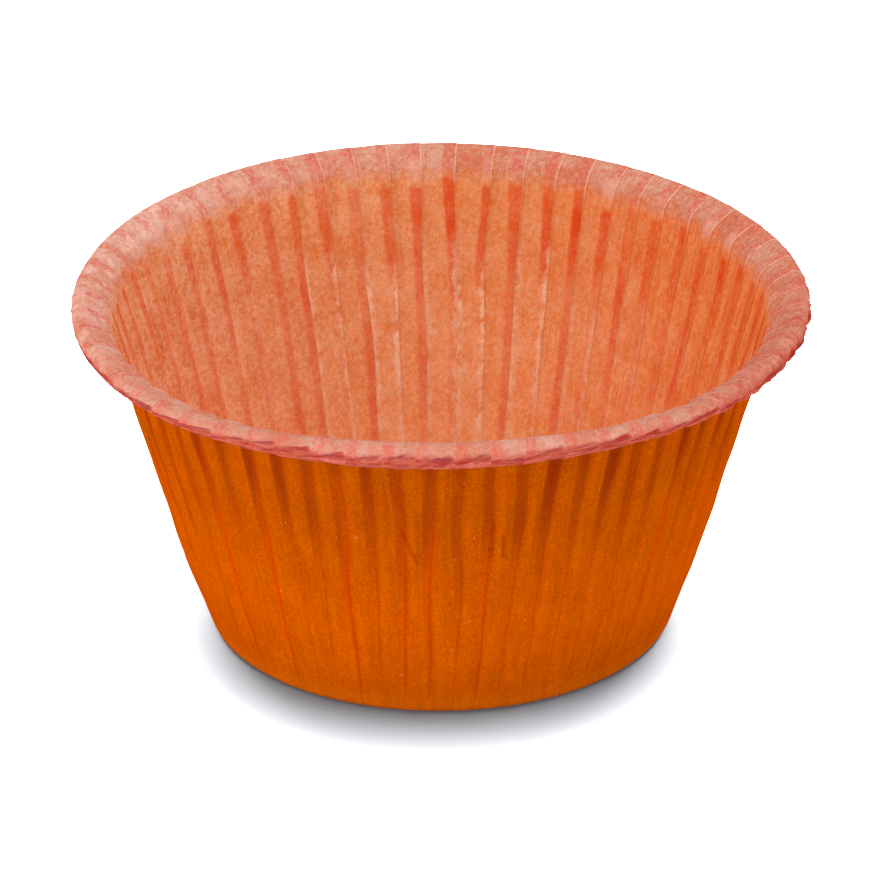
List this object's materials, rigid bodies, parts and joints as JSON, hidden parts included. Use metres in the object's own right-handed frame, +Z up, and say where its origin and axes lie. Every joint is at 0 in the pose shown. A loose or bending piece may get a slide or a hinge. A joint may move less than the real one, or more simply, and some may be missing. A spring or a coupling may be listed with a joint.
{
  "type": "cupcake liner",
  "caption": "Pleated orange paper baking cup: flat round base, flared wall of knife pleats laid one way, and a wide lip with a curled edge.",
  "frame": {"origin": "centre of the base's underside, on the surface that the cup stands on", "axes": "+Z up along the cup's axis, through the mouth; -Y towards the viewer of the picture; +X to that viewer's right"},
  "size_m": [0.0776, 0.0776, 0.0376],
  "materials": {
    "liner": "matt, greaseproof, slightly see-through at the lip"
  },
  "bodies": {
    "root": {"liner": "liner"}
  },
  "joints": []
}
